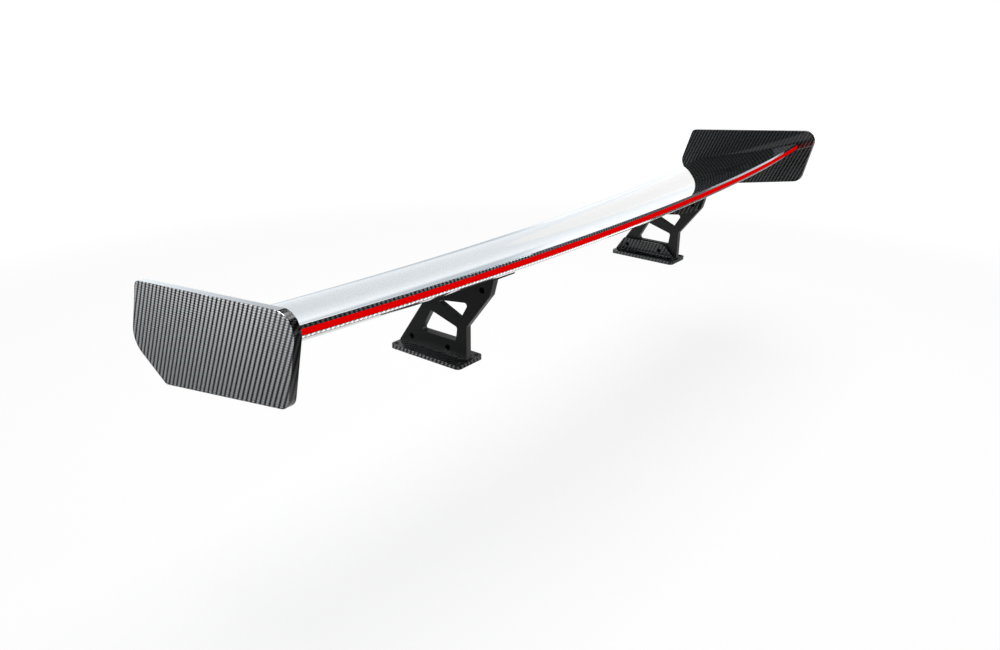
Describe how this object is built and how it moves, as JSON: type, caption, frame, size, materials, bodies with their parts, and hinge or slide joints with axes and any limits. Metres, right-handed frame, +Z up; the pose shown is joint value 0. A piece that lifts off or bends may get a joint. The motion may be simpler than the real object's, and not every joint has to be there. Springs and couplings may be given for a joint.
{
  "type": "racing rear wing",
  "caption": "Bowed carbon rear wing for a car, with end plates, plate uprights on bolted feet, a red light strip along the trailing edge and a small tilt adjustment.",
  "frame": {"origin": "midway between the two feet, on the plane of their undersides, at the middle of their mounting holes", "axes": "+X across the car towards its right side, +Y towards the front of the car, +Z up; the light strip faces -Y"},
  "size_m": [1.4, 0.3147, 0.2142],
  "materials": {
    "carbon": "clear-coated woven carbon",
    "carbon_matt": "bare woven carbon",
    "upright_black": "satin black",
    "black_steel": "black oxide",
    "alloy": "plain machined",
    "board": "white lacquer",
    "lamp": "clear cast",
    "lens_red": "red diffusing lens, flush",
    "rubber": "matt"
  },
  "bodies": {
    "mounting": {"left_foot": "carbon", "right_foot": "carbon", "left_upright": "upright_black", "right_upright": "upright_black", "left_foot_bolts": "black_steel", "right_foot_bolts": "black_steel", "left_foot_inserts": "black_steel", "right_foot_inserts": "black_steel", "left_clamp_screw": "black_steel", "right_clamp_screw": "black_steel", "left_clamp_washer": "black_steel", "right_clamp_washer": "black_steel"},
    "wing": {"upper_skin": "carbon", "lower_skin": "carbon", "main_spar": "carbon_matt", "rear_spar": "carbon_matt", "left_end_rib": "carbon_matt", "right_end_rib": "carbon_matt", "left_mount_rib": "carbon_matt", "right_mount_rib": "carbon_matt", "left_hardpoint": "alloy", "right_hardpoint": "alloy", "left_bracket": "carbon", "right_bracket": "carbon", "left_bracket_screws": "black_steel", "right_bracket_screws": "black_steel", "left_pivot_bolt": "black_steel", "right_pivot_bolt": "black_steel", "left_pivot_insert": "black_steel", "right_pivot_insert": "black_steel", "left_endplate": "carbon", "right_endplate": "carbon", "left_endplate_dowels": "alloy", "right_endplate_dowels": "alloy", "led_channel": "alloy", "led_board": "board", "led_lamps": "lamp", "led_lens": "lens_red", "cable_grommet": "rubber"}
  },
  "joints": [
    {"name": "blade_tilt", "type": "hinge", "parent": "mounting", "child": "wing", "pos_m": [0, -0.092, 0.119], "axis": [-1, 0, 0], "range_deg": [0, 6]}
  ]
}
